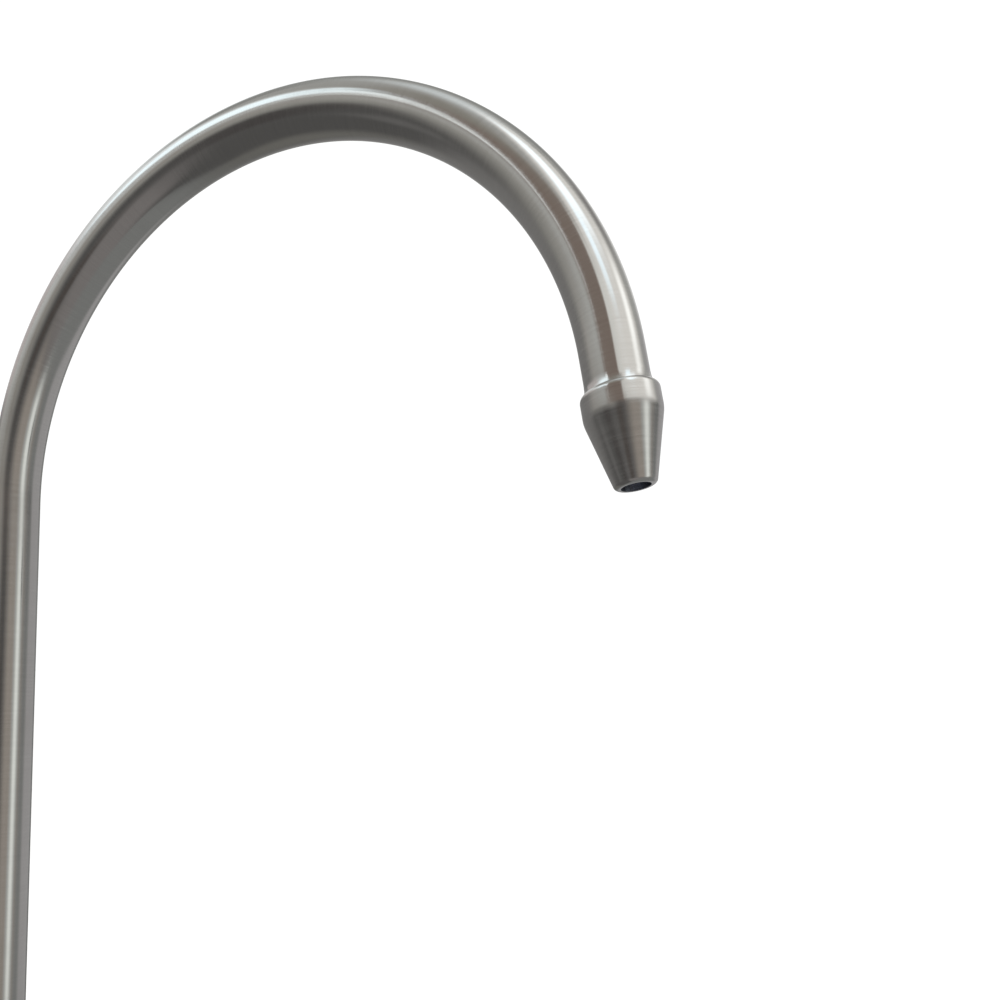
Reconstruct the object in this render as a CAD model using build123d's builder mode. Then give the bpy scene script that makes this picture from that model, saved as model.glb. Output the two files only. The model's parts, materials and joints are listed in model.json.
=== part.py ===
from build123d import *
from math import cos, radians, sin
import os

# High-loop drinking-water faucet: a bent stainless spout with a turned nozzle, on a small side-lever
# valve that clamps through one hole of a worktop. Millimetres, +Z up. The origin is the centre of the
# base on the worktop, the spout reaches towards -Y and the lever stands on the +X side.

# Clearances
thread_gap = 0.05  # radial, between a thread's two halves
running_gap = 0.05  # radial, between parts that turn or slide in each other
seal_gap = 0.02  # round a ring that lies squeezed in its groove
joint_gap = 0.03  # radial, filled by brazing
part_gap = 0.3  # between neighbours that must not rub

# Counts
hex_sides = 6
rings_in_a_joint = 2  # sealing rings on the stem, and on the spindle
disc_ports = 2
spindle_lugs = 2

# Spout tube
tube_diameter = 12.7
tube_wall = 1.2
bend_radius = 84.0
bend_angle = 171.0
bend_height = 235.0  # worktop to the start of the bend
outlet_straight = 8.0  # end of the bend to the nozzle's shoulder

# Nozzle
nozzle_length = 19.3
nozzle_step = 1.3  # how far the band stands out from the tube
shoulder_length = 1.4
band_length = 5.3
band_round = 5.0
tip_radius = 4.0
tip_round = 0.75
outlet_radius = 2.85
outlet_length = 9.0  # the straight hole behind the tip
socket_depth = 4.5  # how far the tube sits in the nozzle
braze_height = 0.9
braze_width = 0.25
crease_station = 0.1  # where the braze meets the shoulder

# Base on the worktop
gasket_radius = 21.5
gasket_thickness = 2.0
gasket_proud = 0.4
flange_radius = 24.0
flange_height = 6.1
flange_rim = 1.6  # height of its upright edge
flange_edge_round = 1.5
flange_seat_round = 3.0
flange_seat = 15.0  # radius of its flat top
gasket_gap = 0.1

# Threaded shank and what clamps it
shank_radius = 5.56
shank_bore = 3.0
shank_grip = 10.0  # its thread in the valve body
shank_below = 55.0  # its length under the worktop
worktop_thickness = 25.0
rubber_washer_radius = 16.0
rubber_washer_thickness = 2.0
steel_washer_radius = 15.0
steel_washer_thickness = 1.5
lock_washer_radius = 9.0
lock_washer_thickness = 1.6
lock_washer_slit = 1.2
lock_nut_flats = 19.0
lock_nut_height = 7.0
nut_chamfer = 0.8
washer_gap = 0.3  # radial, round the shank
lock_washer_twist = 30.0  # slant of its slit
shank_chamfer = 0.5

# Push-fit adapter for the supply tube
supply_tube_radius = 3.2
adapter_radius = 8.6
adapter_flats = 17.0
adapter_hex_height = 9.0
adapter_grip = 10.0  # the shank's thread in it
adapter_round = 1.0
adapter_seal_thickness = 2.0
waterway_radius = 2.2
waterway_length = 4.0
tube_socket_length = 10.0
tube_ring_section = 1.7
cavity_gap = 0.4  # between the collet's heads and the cavity round them
guide_length = 6.0
guide_wall = 1.0
collet_gap = 0.15  # between the collet and its guide
collet_wall = 0.75
collet_head = 0.9  # how far the fingers' heads stand out
collet_head_height = 1.6
collet_finger_length = 7.0
collet_slits = 6
collet_slit_width = 0.8
collet_travel = 1.5
collet_stop_gap = 0.6  # left over at the end of its travel
collet_button_radius = 6.4
collet_button_thickness = 1.6
collet_button_round = 0.4

# Valve body
body_radius = 14.0
body_wall = 4.5  # metal between one water chamber and the next
body_round = 1.2
boss_wall = 2.8
boss_reach = 20.0
neck_radius = 9.0
neck_height = 10.0
boss_round = 0.8
shank_end_gap = 1.0
inlet_radius = 2.5
seat_port_radius = 3.0
riser_radius = 1.85
passage_clear = 0.1  # keeps a passage's side off the wall beside it
boss_blend = 1.5

# Swivel joint of the spout
socket_radius = 6.0
socket_length = 14.5
stem_bore = 3.4
stem_end_gap = 1.0
stem_lead_in = 0.5
swivel_ring_section = 1.4
swivel_ring_rise = 3.1  # from the stem's end to its first ring
swivel_ring_pitch = 4.4
slide_ring_thickness = 0.5
stem_flange_radius = 7.8
stem_flange_thickness = 2.0
stem_plug_length = 11.5
collar_lip = 7.0  # height of the collar's guide round the tube
collar_top_radius = 8.2
collar_base_radius = 13.4
collar_band = 2.5
collar_bend = 3.0
collar_round = 0.8
collar_chamfer = 0.4
tube_guide_gap = 0.1
groove_slack = 0.5  # width of a ring groove beyond the ring's section

# Ceramic cartridge, along +X from the seat
seat_start = 2.0
chamber_radius = 9.0
seat_seal_thickness = 2.2
disc_radius = 6.0
disc_thickness = 2.4
disc_gap = 0.1
turning_gap = 0.4  # radial, round the moving disc and the spindle's foot
port_radius = 3.4  # centre line of the curved ports
port_width = 2.4
port_angle = 50.0
housing_lift = 1.0
housing_radius = 7.6
housing_thread_length = 5.3
housing_hex_flats = 19.0
housing_hex_thickness = 4.5
housing_nose_radius = 7.0
housing_nose_length = 3.0
window_width = 5.0
cartridge_ring_section = 1.5
foot_bar_length = 2.4
foot_bar_width = 5.0
foot_flange = 1.2
lug_width = 2.2
lug_depth = 1.1
lug_reach = 1.8
lug_gap = 0.1
thrust_washer_thickness = 0.4
spindle_radius = 4.0
spindle_ring_section = 1.3
spindle_ring_start = 2.5  # from the housing's throat to the first ring
spindle_ring_pitch = 4.0
clip_radius = 5.4
clip_thickness = 0.7
clip_bite = 0.55  # depth of its groove
clip_mouth = 5.0
clip_gap = 0.05
spline_teeth = 20
spline_depth = 0.45
spline_slot = 0.6
spline_length = 8.0

# Bonnet and handle
bonnet_gap = 0.1
bonnet_wall = 0.9
bonnet_taper = 0.5
bonnet_round = 0.8
hub_gap = 0.6  # between the bonnet and the hub
hub_radius = 11.5
hub_length = 18.0
hub_round = 1.6
hub_inner_round = 0.8
hub_recess_radius = 6.4
hub_recess_depth = 3.0
hub_web = 1.3
screw_radius = 2.0
screw_grip = 7.5
screw_head_radius = 3.5
screw_head_height = 2.4
screw_recess_flats = 2.5
screw_recess_depth = 1.3
screw_head_round = 0.6
screw_head_gap = 0.8
cap_radius = 8.6
cap_rim = 1.4
cap_crown = 0.9
cap_plug_height = 1.2
cap_gap = 0.1
lever_radius = 2.4
lever_tip_radius = 3.2
lever_length = 38.5
lever_plug_radius = 1.75
lever_plug_length = 4.2
lever_seat_depth = 0.6
lever_round = 1.3

# Radii and heights that follow
tube_radius = tube_diameter / 2
tube_bore = tube_radius - tube_wall
band_radius = tube_radius + nozzle_step
nozzle_socket = tube_radius + joint_gap
crease_radius = tube_radius + braze_width
funnel_end = nozzle_length - outlet_length

shank_socket_radius = shank_radius + thread_gap
boss_radius = chamber_radius + boss_wall
inlet_offset = shank_socket_radius - inlet_radius - passage_clear
riser_offset = seat_start + riser_radius + passage_clear

flange_top = gasket_proud + flange_height
flange_rim_top = gasket_proud + flange_rim
shank_top = flange_top + shank_grip
cartridge_height = shank_top + body_wall + chamber_radius
socket_floor = cartridge_height + chamber_radius + body_wall
neck_top = socket_floor + socket_length
body_shoulder = neck_top - neck_height
stem_low = socket_floor + stem_end_gap
stem_flange_low = neck_top + slide_ring_thickness
tube_bottom = stem_flange_low + stem_flange_thickness
upper_slide_low = tube_bottom
collar_seat = upper_slide_low + slide_ring_thickness
collar_low = body_shoulder + part_gap
collar_top = collar_seat + collar_lip
collar_cone_start = collar_low + collar_band

stem_radius = socket_radius - running_gap
stem_plug_radius = tube_bore - joint_gap
swivel_ring_centre = socket_radius - seal_gap - swivel_ring_section / 2
swivel_groove_floor = socket_radius - 2 * seal_gap - swivel_ring_section
swivel_groove_width = swivel_ring_section + groove_slack
swivel_ring_heights = [stem_low + swivel_ring_rise + n * swivel_ring_pitch for n in range(rings_in_a_joint)]

clamp_top = -worktop_thickness
steel_washer_top = clamp_top - rubber_washer_thickness
lock_washer_top = steel_washer_top - steel_washer_thickness
lock_nut_top = lock_washer_top - lock_washer_thickness
lock_nut_low = lock_nut_top - lock_nut_height
lock_nut_corner = lock_nut_flats / 2 / cos(radians(180 / hex_sides))

adapter_top = -shank_below + adapter_grip
adapter_shoulder = -shank_below - adapter_seal_thickness
tube_stop = adapter_shoulder - waterway_length
tube_socket_low = tube_stop - tube_socket_length
tube_ring_pocket = supply_tube_radius + tube_ring_section + 2 * seal_gap
tube_ring_low = tube_socket_low - tube_ring_section - groove_slack
tube_ring_centre = supply_tube_radius + seal_gap + tube_ring_section / 2
collet_bore = supply_tube_radius + running_gap
collet_radius = collet_bore + collet_wall
collet_head_radius = collet_radius + collet_head
collet_top = tube_ring_low - collet_travel - collet_stop_gap
head_low = collet_top - collet_head_height
guide_throat = head_low - collet_head - collet_gap
guide_top = guide_throat + collet_head
adapter_low = guide_top - guide_length
button_top = adapter_low - collet_travel - collet_stop_gap
button_low = button_top - collet_button_thickness
cavity_radius = collet_head_radius + cavity_gap
guide_radius = cavity_radius + guide_wall

# Stations along the cartridge that follow, and radii there
fixed_disc_start = seat_start + seat_seal_thickness
moving_disc_start = fixed_disc_start + disc_thickness
foot_start = moving_disc_start + disc_thickness
foot_flange_start = foot_start + foot_bar_length
thrust_washer_start = foot_flange_start + foot_flange
throat_start = thrust_washer_start + thrust_washer_thickness
housing_start = seat_start + housing_lift
hex_end = boss_reach + housing_hex_thickness
nose_end = hex_end + housing_nose_length
housing_groove_width = cartridge_ring_section + groove_slack
housing_thread_start = boss_reach - housing_groove_width - housing_thread_length
housing_groove_floor = chamber_radius - 2 * seal_gap - cartridge_ring_section
cartridge_ring_centre = chamber_radius - seal_gap - cartridge_ring_section / 2
pocket_radius = disc_radius + disc_gap
foot_radius = pocket_radius - turning_gap
spindle_bore = spindle_radius + running_gap
spindle_groove_floor = spindle_bore - 2 * seal_gap - spindle_ring_section
spindle_groove_width = spindle_ring_section + groove_slack
spindle_ring_centre = spindle_bore - seal_gap - spindle_ring_section / 2
first_spindle_ring = throat_start + spindle_ring_start
spindle_ring_stations = [first_spindle_ring + n * spindle_ring_pitch for n in range(rings_in_a_joint)]
clip_start = nose_end + clip_gap
hub_start = nose_end + hub_gap
hub_end = hub_start + hub_length
spline_start = hub_start + hub_recess_depth
spindle_end = spline_start + spline_length
web_start = spindle_end + clip_gap
web_end = web_start + hub_web
screw_pocket_radius = screw_head_radius + screw_head_gap
screw_hole_depth = screw_grip + part_gap
cap_plug_radius = screw_pocket_radius - cap_gap
cap_seat = hub_end - cap_rim
housing_hex_corner = housing_hex_flats / 2 / cos(radians(180 / hex_sides))
bonnet_cavity = housing_hex_corner + bonnet_gap
bonnet_radius = bonnet_cavity + bonnet_wall
bonnet_front_radius = bonnet_radius - bonnet_taper
lever_station = hub_start + hub_length / 2
lever_seat = cartridge_height + hub_radius - lever_seat_depth
lever_end = lever_seat + lever_length

# Planes and axes: the cartridge's own section has its axis as local X and the radius as local Y
cartridge_section = Plane(origin=(0, 0, cartridge_height), x_dir=(1, 0, 0), z_dir=(0, -1, 0))
cartridge_cross = Plane(origin=(0, 0, cartridge_height), x_dir=(0, 1, 0), z_dir=(1, 0, 0))
cartridge_axis = Axis((0, 0, cartridge_height), (1, 0, 0))

# The nozzle's section has the radius as local X and the flow as local Y
bend_end_y = -bend_radius + bend_radius * cos(radians(bend_angle))
bend_end_z = bend_height + bend_radius * sin(radians(bend_angle))
flow_y = -sin(radians(bend_angle))
flow_z = cos(radians(bend_angle))
shoulder_point = (
    0,
    bend_end_y + outlet_straight * flow_y,
    bend_end_z + outlet_straight * flow_z,
)
nozzle_section = Plane(origin=shoulder_point, x_dir=(1, 0, 0), z_dir=(0, -flow_z, flow_y))
nozzle_axis = Axis(shoulder_point, (0, flow_y, flow_z))


# Spout tube: straight riser, one even bend and a short straight end that sits in the nozzle
with BuildPart() as spout_tube:
    with BuildLine(Plane.YZ) as tube_route:
        Line((0, tube_bottom), (0, bend_height))
        CenterArc((-bend_radius, bend_height), bend_radius, 0, bend_angle)
        PolarLine((bend_end_y, bend_end_z), outlet_straight + socket_depth, bend_angle + 90)
    with BuildSketch(Plane.XY.offset(tube_bottom)):
        Circle(tube_radius)
        Circle(tube_bore, mode=Mode.SUBTRACT)
    sweep(path=tube_route.wire())

# Nozzle: brazed round the tube's end, with a rounded shoulder, a band and a long cone
with BuildPart() as nozzle:
    with BuildSketch(nozzle_section):
        with BuildLine():
            Line((nozzle_socket, socket_depth), (nozzle_socket, -braze_height))
            TangentArc((nozzle_socket, -braze_height), (crease_radius, crease_station), tangent=(0, 1))
            TangentArc((band_radius, shoulder_length), (crease_radius, crease_station), tangent=(0, -1))
            Line((band_radius, shoulder_length), (band_radius, band_length))
            Line((band_radius, band_length), (tip_radius, nozzle_length))
            Line((tip_radius, nozzle_length), (outlet_radius, nozzle_length))
            Line((outlet_radius, nozzle_length), (outlet_radius, funnel_end))
            Line((outlet_radius, funnel_end), (tube_bore, socket_depth))
            Line((tube_bore, socket_depth), (nozzle_socket, socket_depth))
        make_face()
        fillet(vertices().sort_by_distance((band_radius, band_length))[0], band_round)
        fillet(vertices().sort_by_distance((tip_radius, nozzle_length))[0], tip_round)
    revolve(axis=nozzle_axis)

# Spout stem: brazed in the tube's foot, turns in the body on two rings and hangs on its flange
with BuildPart() as spout_stem:
    with BuildSketch(Plane.XZ):
        Polygon(
            (stem_bore, stem_low),
            (stem_radius, stem_low),
            (stem_radius, stem_flange_low),
            (stem_flange_radius, stem_flange_low),
            (stem_flange_radius, tube_bottom),
            (stem_plug_radius, tube_bottom),
            (stem_plug_radius, tube_bottom + stem_plug_length),
            (stem_bore, tube_bottom + stem_plug_length),
            align=None,
        )
        chamfer(vertices().sort_by_distance((stem_radius, stem_low))[0], stem_lead_in)
    revolve(axis=Axis.Z)
    with BuildSketch(Plane.XZ):
        for height in swivel_ring_heights:
            with Locations((stem_radius, height)):
                Rectangle(2 * (socket_radius - swivel_groove_floor), swivel_groove_width)
    revolve(axis=Axis.Z, mode=Mode.SUBTRACT)

# Two sealing rings in the stem's grooves
with BuildPart() as swivel_rings:
    with BuildSketch(Plane.XZ):
        for height in swivel_ring_heights:
            with Locations((swivel_ring_centre, height)):
                Circle(swivel_ring_section / 2)
    revolve(axis=Axis.Z)

# Plastic rings that the stem's flange slides on, one under it and one over it
with BuildPart() as lower_slide_ring:
    with BuildSketch(Plane.XY.offset(neck_top)):
        Circle(stem_flange_radius)
        Circle(socket_radius + part_gap, mode=Mode.SUBTRACT)
    extrude(amount=slide_ring_thickness)

with BuildPart() as upper_slide_ring:
    with BuildSketch(Plane.XY.offset(upper_slide_low)):
        Circle(stem_flange_radius)
        Circle(tube_radius + part_gap, mode=Mode.SUBTRACT)
    extrude(amount=slide_ring_thickness)

# Collar nut: its cone repeats the nozzle's, its lip guides the tube
with BuildPart() as collar_nut:
    with BuildSketch(Plane.XZ):
        Polygon(
            (neck_radius + thread_gap, collar_low),
            (collar_base_radius, collar_low),
            (collar_base_radius, collar_cone_start),
            (collar_top_radius, collar_top),
            (tube_radius + tube_guide_gap, collar_top),
            (tube_radius + tube_guide_gap, collar_seat),
            (neck_radius + thread_gap, collar_seat),
            align=None,
        )
        fillet(vertices().sort_by_distance((collar_base_radius, collar_cone_start))[0], collar_bend)
        fillet(vertices().sort_by_distance((collar_top_radius, collar_top))[0], collar_round)
        chamfer(vertices().sort_by_distance((collar_base_radius, collar_low))[0], collar_chamfer)
    revolve(axis=Axis.Z)

# Valve body: turned column with a side boss, water passages, spout socket and threaded neck
with BuildPart() as valve_body:
    with BuildSketch(Plane.XZ):
        Polygon(
            (0, flange_top),
            (body_radius, flange_top),
            (body_radius, body_shoulder),
            (neck_radius, body_shoulder),
            (neck_radius, neck_top),
            (0, neck_top),
            align=None,
        )
        fillet(vertices().sort_by_distance((body_radius, body_shoulder))[0], body_round)
        chamfer(vertices().sort_by_distance((neck_radius, neck_top))[0], stem_lead_in)
    revolve(axis=Axis.Z)
    with BuildSketch(cartridge_cross):
        Circle(boss_radius)
    extrude(amount=boss_reach)
    seam = edges().filter_by(GeomType.CIRCLE, reverse=True).filter_by(GeomType.LINE, reverse=True)
    fillet(seam, boss_blend)
    with BuildSketch(Plane.XZ):
        Polygon(
            (0, flange_top),
            (shank_socket_radius, flange_top),
            (shank_socket_radius, shank_top + shank_end_gap),
            (0, shank_top + shank_end_gap),
            align=None,
        )
        Polygon(
            (0, socket_floor),
            (socket_radius, socket_floor),
            (socket_radius, neck_top),
            (0, neck_top),
            align=None,
        )
    revolve(axis=Axis.Z, mode=Mode.SUBTRACT)
    with BuildSketch(cartridge_section):
        Polygon(
            (-inlet_offset, 0),
            (-inlet_offset, seat_port_radius),
            (seat_start, seat_port_radius),
            (seat_start, chamber_radius),
            (boss_reach, chamber_radius),
            (boss_reach, 0),
            align=None,
        )
    revolve(axis=cartridge_axis, mode=Mode.SUBTRACT)
    with BuildSketch(Plane.XY.offset(shank_top)):
        with Locations((-inlet_offset, 0)):
            Circle(inlet_radius)
    extrude(amount=cartridge_height - shank_top, mode=Mode.SUBTRACT)
    with BuildSketch(Plane.XY.offset(cartridge_height)):
        with Locations((riser_offset, 0)):
            Circle(riser_radius)
    extrude(amount=socket_floor - cartridge_height, mode=Mode.SUBTRACT)
    boss_rim = edges().filter_by(GeomType.CIRCLE).sort_by(Axis.X).group_by(Axis.X)[-1]
    fillet(boss_rim.sort_by(SortBy.RADIUS)[-1], boss_round)

# Base flange: turned foot with a flat seat for the body and a recess for its gasket
with BuildPart() as base_flange:
    with BuildSketch(Plane.XZ):
        Polygon(
            (shank_radius + washer_gap, gasket_thickness),
            (gasket_radius + gasket_gap, gasket_thickness),
            (gasket_radius + gasket_gap, gasket_proud),
            (flange_radius, gasket_proud),
            (flange_radius, flange_rim_top),
            (flange_seat, flange_top),
            (shank_radius + washer_gap, flange_top),
            align=None,
        )
        fillet(vertices().sort_by_distance((flange_radius, flange_rim_top))[0], flange_edge_round)
        fillet(vertices().sort_by_distance((flange_seat, flange_top))[0], flange_seat_round)
    revolve(axis=Axis.Z)

with BuildPart() as base_gasket:
    with BuildSketch():
        Circle(gasket_radius)
        Circle(shank_radius + washer_gap, mode=Mode.SUBTRACT)
    extrude(amount=gasket_thickness)

# Hollow shank that carries the water up through the worktop
with BuildPart() as threaded_shank:
    with BuildSketch(Plane.XZ):
        Polygon(
            (shank_bore, -shank_below),
            (shank_radius, -shank_below),
            (shank_radius, shank_top),
            (shank_bore, shank_top),
            align=None,
        )
        chamfer(vertices().sort_by_distance((shank_radius, -shank_below))[0], shank_chamfer)
        chamfer(vertices().sort_by_distance((shank_radius, shank_top))[0], shank_chamfer)
    revolve(axis=Axis.Z)

# What clamps the faucet from under the worktop
with BuildPart() as rubber_washer:
    with BuildSketch(Plane.XY.offset(clamp_top)):
        Circle(rubber_washer_radius)
        Circle(shank_radius + washer_gap, mode=Mode.SUBTRACT)
    extrude(amount=-rubber_washer_thickness)

with BuildPart() as steel_washer:
    with BuildSketch(Plane.XY.offset(steel_washer_top)):
        Circle(steel_washer_radius)
        Circle(shank_radius + washer_gap, mode=Mode.SUBTRACT)
    extrude(amount=-steel_washer_thickness)

with BuildPart() as lock_washer:
    with BuildSketch(Plane.XY.offset(lock_washer_top)):
        Circle(lock_washer_radius)
        Circle(shank_radius + washer_gap, mode=Mode.SUBTRACT)
    extrude(amount=-lock_washer_thickness)
    slit_middle = Location((0, 0, lock_washer_top - lock_washer_thickness / 2), (lock_washer_twist, 0, 0))
    with Locations(slit_middle):
        Box(
            2 * lock_washer_radius,
            lock_washer_slit,
            lock_washer_radius,
            align=(Align.MIN, Align.CENTER, Align.CENTER),
            mode=Mode.SUBTRACT,
        )

with BuildPart() as lock_nut:
    with BuildSketch(Plane.XY.offset(lock_nut_low)):
        RegularPolygon(lock_nut_flats / 2, hex_sides, major_radius=False)
        Circle(shank_socket_radius, mode=Mode.SUBTRACT)
    extrude(amount=lock_nut_height)
    with BuildSketch(Plane.XZ):
        Polygon(
            (0, lock_nut_low),
            (lock_nut_corner - 2 * nut_chamfer, lock_nut_low),
            (lock_nut_corner, lock_nut_low + nut_chamfer),
            (lock_nut_corner, lock_nut_top - nut_chamfer),
            (lock_nut_corner - 2 * nut_chamfer, lock_nut_top),
            (0, lock_nut_top),
            align=None,
        )
    revolve(axis=Axis.Z, mode=Mode.INTERSECT)

# Adapter on the shank's end, with a push-fit socket for the supply tube
with BuildPart() as adapter_body:
    with BuildSketch(Plane.XY.offset(adapter_top)):
        RegularPolygon(adapter_flats / 2, hex_sides, major_radius=False)
    extrude(amount=-adapter_hex_height)
    with BuildSketch(Plane.XY.offset(adapter_top - adapter_hex_height)):
        Circle(adapter_radius)
    extrude(amount=adapter_low - adapter_top + adapter_hex_height)
    fillet(edges().group_by(Axis.Z)[0], adapter_round)
    with BuildSketch(Plane.XZ):
        Polygon(
            (0, adapter_top),
            (shank_socket_radius, adapter_top),
            (shank_socket_radius, adapter_shoulder),
            (waterway_radius, adapter_shoulder),
            (waterway_radius, tube_stop),
            (supply_tube_radius, tube_stop),
            (supply_tube_radius, tube_socket_low),
            (tube_ring_pocket, tube_socket_low),
            (tube_ring_pocket, tube_ring_low),
            (cavity_radius, tube_ring_low),
            (cavity_radius, guide_top),
            (guide_radius, guide_top),
            (guide_radius, adapter_low),
            (0, adapter_low),
            align=None,
        )
    revolve(axis=Axis.Z, mode=Mode.SUBTRACT)

with BuildPart() as adapter_seal:
    with BuildSketch(Plane.XY.offset(adapter_shoulder)):
        Circle(shank_radius - gasket_gap)
        Circle(shank_bore, mode=Mode.SUBTRACT)
    extrude(amount=adapter_seal_thickness)

with BuildPart() as tube_ring:
    with BuildSketch(Plane.XZ):
        with Locations((tube_ring_centre, (tube_socket_low + tube_ring_low) / 2)):
            Circle(tube_ring_section / 2)
    revolve(axis=Axis.Z)

with BuildPart() as collet_guide:
    with BuildSketch(Plane.XZ):
        Polygon(
            (collet_radius + collet_gap, adapter_low),
            (guide_radius - joint_gap, adapter_low),
            (guide_radius - joint_gap, guide_top),
            (collet_head_radius + collet_gap, guide_top),
            (collet_radius + collet_gap, guide_throat),
            align=None,
        )
    revolve(axis=Axis.Z)

# Collet: slit fingers with heads that wedge in the guide, and a button that pushes them free
with BuildPart() as collet:
    with BuildSketch(Plane.XZ):
        Polygon(
            (collet_bore, button_low),
            (collet_button_radius, button_low),
            (collet_button_radius, button_top),
            (collet_radius, button_top),
            (collet_radius, head_low - collet_head),
            (collet_head_radius, head_low),
            (collet_head_radius, collet_top),
            (collet_bore, collet_top),
            align=None,
        )
        fillet(vertices().group_by(Axis.X)[-1].sort_by(Axis.Y)[0], collet_button_round)
    revolve(axis=Axis.Z)
    with BuildSketch(Plane.XY.offset(collet_top)):
        with PolarLocations(collet_head_radius, collet_slits):
            Rectangle(2 * collet_head_radius, collet_slit_width)
    extrude(amount=-collet_finger_length, mode=Mode.SUBTRACT)

# Cartridge housing: disc pocket, four outlet windows, thread, hexagon and nose
with BuildPart() as cartridge_housing:
    with BuildSketch(cartridge_section):
        Polygon(
            (housing_start, pocket_radius),
            (housing_start, housing_radius),
            (housing_thread_start, housing_radius),
            (housing_thread_start, chamber_radius - thread_gap),
            (boss_reach - housing_groove_width, chamber_radius - thread_gap),
            (boss_reach - housing_groove_width, housing_groove_floor),
            (boss_reach, housing_groove_floor),
            (hex_end, housing_nose_radius),
            (nose_end, housing_nose_radius),
            (nose_end, spindle_bore),
            (throat_start, spindle_bore),
            (throat_start, pocket_radius),
            align=None,
        )
    revolve(axis=cartridge_axis)
    with BuildSketch(cartridge_cross.offset(boss_reach)):
        RegularPolygon(housing_hex_flats / 2, hex_sides, major_radius=False)
        Circle(spindle_bore, mode=Mode.SUBTRACT)
    extrude(amount=housing_hex_thickness)
    with BuildSketch(cartridge_cross.offset(foot_start)):
        Rectangle(2 * chamber_radius, window_width)
        Rectangle(window_width, 2 * chamber_radius)
    extrude(amount=foot_bar_length, mode=Mode.SUBTRACT)

with BuildPart() as cartridge_ring:
    with BuildSketch(cartridge_section):
        with Locations((boss_reach - housing_groove_width / 2, cartridge_ring_centre)):
            Circle(cartridge_ring_section / 2)
    revolve(axis=cartridge_axis)

# Seat seal and the two ported ceramic discs, shown shut: the ports stand a quarter turn apart
with BuildPart() as seat_seal:
    with BuildSketch(cartridge_cross.offset(seat_start)):
        Circle(disc_radius)
        Circle(seat_port_radius, mode=Mode.SUBTRACT)
    extrude(amount=seat_seal_thickness)

port_line = CenterArc((0, 0), port_radius, -port_angle / 2, port_angle, mode=Mode.PRIVATE)
with BuildPart() as fixed_disc:
    with BuildSketch(cartridge_cross.offset(fixed_disc_start)):
        Circle(disc_radius)
        with PolarLocations(0, disc_ports):
            SlotArc(port_line, port_width, mode=Mode.SUBTRACT)
    extrude(amount=disc_thickness)

with BuildPart() as moving_disc:
    with BuildSketch(cartridge_cross.offset(moving_disc_start)):
        Circle(foot_radius)
        with PolarLocations(0, disc_ports, start_angle=90):
            SlotArc(port_line, port_width, mode=Mode.SUBTRACT)
        with PolarLocations(foot_radius, spindle_lugs):
            Rectangle(2 * (lug_depth + 2 * lug_gap), lug_width + 2 * lug_gap, mode=Mode.SUBTRACT)
    extrude(amount=disc_thickness)

# Spindle: forked foot that turns the moving disc, ring grooves, clip groove and splined end
with BuildPart() as spindle:
    with BuildSketch(cartridge_cross.offset(foot_start - lug_reach)):
        Circle(foot_radius)
        Rectangle(2 * disc_radius, lug_width, mode=Mode.INTERSECT)
        Circle(foot_radius - lug_depth, mode=Mode.SUBTRACT)
    extrude(amount=lug_reach)
    with BuildSketch(cartridge_cross.offset(foot_start)):
        Circle(foot_radius)
        Rectangle(2 * disc_radius, foot_bar_width, mode=Mode.INTERSECT)
    extrude(amount=foot_bar_length)
    with BuildSketch(cartridge_cross.offset(foot_flange_start)):
        Circle(foot_radius)
    extrude(amount=foot_flange)
    with BuildSketch(cartridge_cross.offset(thrust_washer_start)):
        Circle(spindle_radius)
    extrude(amount=spindle_end - thrust_washer_start)
    with BuildSketch(cartridge_cross.offset(spline_start)):
        with PolarLocations(spindle_radius, spline_teeth):
            Rectangle(2 * spline_depth, spline_slot)
    extrude(amount=spline_length, mode=Mode.SUBTRACT)
    with BuildSketch(cartridge_section):
        for station in spindle_ring_stations:
            with Locations((station, spindle_radius)):
                Rectangle(spindle_groove_width, 2 * (spindle_radius - spindle_groove_floor))
        with Locations((clip_start + clip_thickness / 2, spindle_radius)):
            Rectangle(clip_thickness + 2 * clip_gap, 2 * clip_bite)
        with Locations((spindle_end, 0)):
            Rectangle(screw_hole_depth, screw_radius + thread_gap, align=(Align.MAX, Align.MIN))
    revolve(axis=cartridge_axis, mode=Mode.SUBTRACT)

with BuildPart() as spindle_rings:
    with BuildSketch(cartridge_section):
        for station in spindle_ring_stations:
            with Locations((station, spindle_ring_centre)):
                Circle(spindle_ring_section / 2)
    revolve(axis=cartridge_axis)

with BuildPart() as thrust_washer:
    with BuildSketch(cartridge_cross.offset(thrust_washer_start)):
        Circle(foot_radius)
        Circle(spindle_radius + part_gap, mode=Mode.SUBTRACT)
    extrude(amount=thrust_washer_thickness)

with BuildPart() as spindle_clip:
    with BuildSketch(cartridge_cross.offset(clip_start)):
        Circle(clip_radius)
        Circle(spindle_radius - clip_bite + clip_gap, mode=Mode.SUBTRACT)
        with Locations((0, clip_radius)):
            Rectangle(clip_mouth, 2 * clip_radius, mode=Mode.SUBTRACT)
    extrude(amount=clip_thickness)

# Bonnet: dress ring over the hexagon, screwed on the housing's nose
with BuildPart() as bonnet:
    with BuildSketch(cartridge_section):
        Polygon(
            (boss_reach + bonnet_gap, bonnet_cavity),
            (boss_reach + bonnet_gap, bonnet_radius),
            (nose_end, bonnet_front_radius),
            (nose_end, housing_nose_radius + thread_gap),
            (hex_end + bonnet_gap, housing_nose_radius + thread_gap),
            (hex_end + bonnet_gap, bonnet_cavity),
            align=None,
        )
        fillet(vertices().sort_by_distance((nose_end, bonnet_front_radius))[0], bonnet_round)
    revolve(axis=cartridge_axis)

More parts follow.
